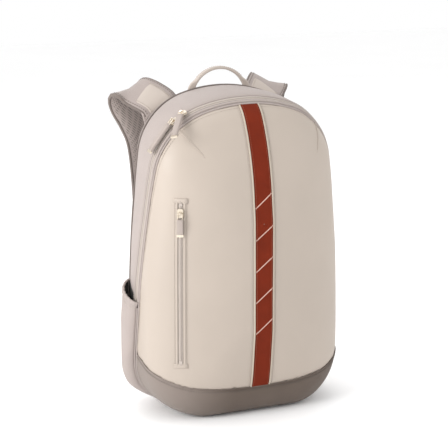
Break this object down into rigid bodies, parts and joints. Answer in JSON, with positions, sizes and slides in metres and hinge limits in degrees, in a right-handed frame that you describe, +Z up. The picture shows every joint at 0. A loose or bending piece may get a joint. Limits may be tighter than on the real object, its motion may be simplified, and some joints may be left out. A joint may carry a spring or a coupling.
{
  "type": "racket backpack",
  "caption": "Soft upright backpack with a padded racket compartment, curved zipped front shell, straight front pocket zip, side pockets, shoulder straps and a carry handle.",
  "frame": {"origin": "centre of the flat base, at floor level", "axes": "+Z up, -Y out of the front panel, +Y towards the wearer, +X to the right seen from the front"},
  "size_m": [0.3542, 0.2455, 0.515],
  "materials": {
    "cream_coated": "smooth coated fabric, soft sheen",
    "gusset_fabric": "tight plain weave",
    "base_fabric": "tight dark weave",
    "clay_webbing": "ribbed webbing",
    "piping": "woven cord piping",
    "dark_piping": "woven edge tape",
    "zip_tape": "herringbone zip tape",
    "zip_coil": "moulded coil",
    "gold_metal": "pale gold plated zinc",
    "pull_tape": "coated taupe tape",
    "mesh_fabric": "spacer mesh over foam",
    "strap_cream": "smooth coated panel",
    "webbing": "flat webbing",
    "black_lining": "dark lining",
    "moulded_plastic": "moulded buckle",
    "foam": "foam core in cloth",
    "board": "stiffener sheet"
  },
  "bodies": {
    "root": {"back_foam": "foam", "back_pad_left": "mesh_fabric", "back_pad_right": "mesh_fabric", "back_panel": "mesh_fabric", "back_seam_piping": "dark_piping", "base_board": "board", "base_panel": "base_fabric", "bottom_panel": "base_fabric", "centre_stripe": "clay_webbing", "frame_sheet": "board", "front_panel": "cream_coated", "front_pocket_pouch": "black_lining", "front_seam_piping": "gusset_fabric", "gusset_band": "gusset_fabric", "handle_feet": "strap_cream", "laptop_sleeve": "black_lining", "lining": "black_lining", "lumbar_pad": "mesh_fabric", "main_zip_coil": "zip_coil", "main_zip_stops": "zip_coil", "main_zip_tape": "zip_tape", "pocket_binding_left": "dark_piping", "pocket_binding_right": "dark_piping", "pocket_zip_coil": "zip_coil", "pocket_zip_stops": "zip_coil", "pocket_zip_tape": "zip_tape", "racket_divider": "foam", "side_pocket_left": "gusset_fabric", "side_pocket_right": "gusset_fabric", "strap_feet": "mesh_fabric", "strap_webbing_left": "webbing", "strap_webbing_right": "webbing", "stripe_lines": "piping", "stripe_pipings": "piping", "webbing_tabs": "webbing", "zip_panel": "gusset_fabric"},
    "pocket_slider": {"pocket_zip_slider": "gold_metal"},
    "pocket_pull": {"pocket_zip_ring": "gold_metal", "pocket_zip_pull": "pull_tape", "pocket_zip_pull_tip": "gold_metal"},
    "left_slider": {"main_zip_left_slider": "gold_metal"},
    "left_pull": {"main_zip_left_ring": "gold_metal", "main_zip_left_pull": "pull_tape", "main_zip_left_pull_tip": "gold_metal"},
    "right_slider": {"main_zip_right_slider": "gold_metal"},
    "right_pull": {"main_zip_right_ring": "gold_metal", "main_zip_right_pull": "pull_tape", "main_zip_right_pull_tip": "gold_metal"},
    "handle": {"carry_handle": "strap_cream"},
    "strap_left": {"strap_pad_left": "mesh_fabric", "strap_overlay_left": "strap_cream", "strap_loop_left": "webbing"},
    "strap_right": {"strap_pad_right": "mesh_fabric", "strap_overlay_right": "strap_cream", "strap_loop_right": "webbing"},
    "lock_left": {"ladder_lock_left": "moulded_plastic", "strap_tail_left": "webbing"},
    "lock_right": {"ladder_lock_right": "moulded_plastic", "strap_tail_right": "webbing"}
  },
  "joints": [
    {"name": "pocket_zip_travel", "type": "slide", "parent": "root", "child": "pocket_slider", "axis": [-0.0147, -0.0171, -0.9997], "range_m": [0, 0.212]},
    {"name": "pocket_pull_swing", "type": "hinge", "parent": "pocket_slider", "child": "pocket_pull", "pos_m": [-0.12399, -0.06983, 0.31966], "axis": [-0.848, 0.53, 0.0034], "range_deg": [0, 150]},
    {"name": "left_zip_travel", "type": "hinge", "parent": "root", "child": "left_slider", "pos_m": [-0.0479, -0.01354, 0.37115], "axis": [0, -0.9889, -0.1483], "range_deg": [0, 27]},
    {"name": "left_pull_swing", "type": "hinge", "parent": "left_slider", "child": "left_pull", "pos_m": [-0.11616, -0.02561, 0.4516], "axis": [0, 0.9889, 0.1483], "range_deg": [0, 150]},
    {"name": "right_zip_travel", "type": "hinge", "parent": "root", "child": "right_slider", "pos_m": [0, 0.00463, 0.25], "axis": [0, 0.9889, 0.1483], "range_deg": [0, 49]},
    {"name": "right_pull_swing", "type": "hinge", "parent": "right_slider", "child": "right_pull", "pos_m": [-0.10217, -0.02729, 0.4628], "axis": [-0.692, 0.6844, -0.2296], "range_deg": [0, 150]},
    {"name": "handle_fold", "type": "hinge", "parent": "root", "child": "handle", "pos_m": [0, 0.062, 0.495], "axis": [1, 0, 0], "range_deg": [-75, 75]},
    {"name": "strap_left_swing", "type": "hinge", "parent": "root", "child": "strap_left", "pos_m": [-0.082, 0.087, 0.447], "axis": [1, 0, 0], "range_deg": [0, 18]},
    {"name": "strap_right_swing", "type": "hinge", "parent": "root", "child": "strap_right", "pos_m": [0.082, 0.087, 0.447], "axis": [1, 0, 0], "range_deg": [0, 18]},
    {"name": "lock_left_tilt", "type": "hinge", "parent": "strap_left", "child": "lock_left", "pos_m": [-0.10536, 0.10443, 0.12425], "axis": [0.9889, 0.001, -0.1484], "range_deg": [-4, 30]},
    {"name": "lock_right_tilt", "type": "hinge", "parent": "strap_right", "child": "lock_right", "pos_m": [0.10536, 0.10443, 0.12425], "axis": [0.9889, -0.001, 0.1484], "range_deg": [-4, 30]}
  ]
}
